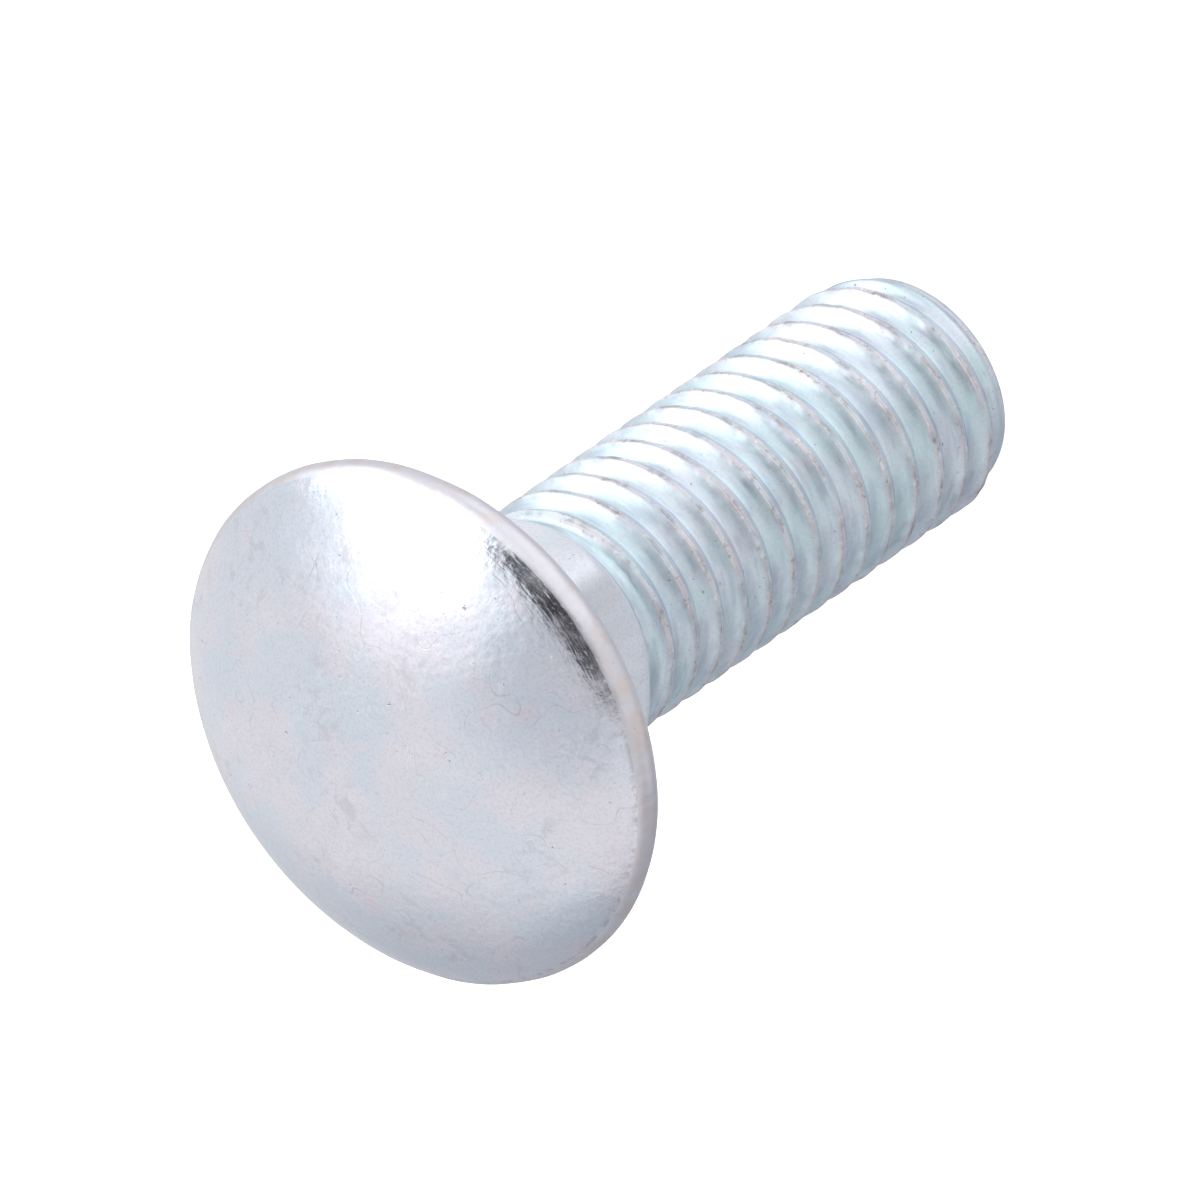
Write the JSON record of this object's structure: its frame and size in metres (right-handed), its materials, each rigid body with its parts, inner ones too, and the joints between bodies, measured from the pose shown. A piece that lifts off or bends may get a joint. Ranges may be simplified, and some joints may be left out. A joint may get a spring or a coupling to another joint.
{
  "type": "carriage bolt",
  "caption": "Carriage bolt with a plain domed head, a square neck that stops it turning, and a coarse right-hand thread down to a pointed flat end.",
  "frame": {"origin": "centre of the flat face at the threaded end, which the bolt stands on", "axes": "+Z along the bolt's axis from the threaded end to the head; +X and +Y square to the neck's flats"},
  "size_m": [0.0274, 0.0274, 0.0448],
  "materials": {
    "zinc_plated_steel": "clear zinc plating over a cold-forged surface"
  },
  "bodies": {
    "root": {"carriage_bolt": "zinc_plated_steel"}
  },
  "joints": []
}
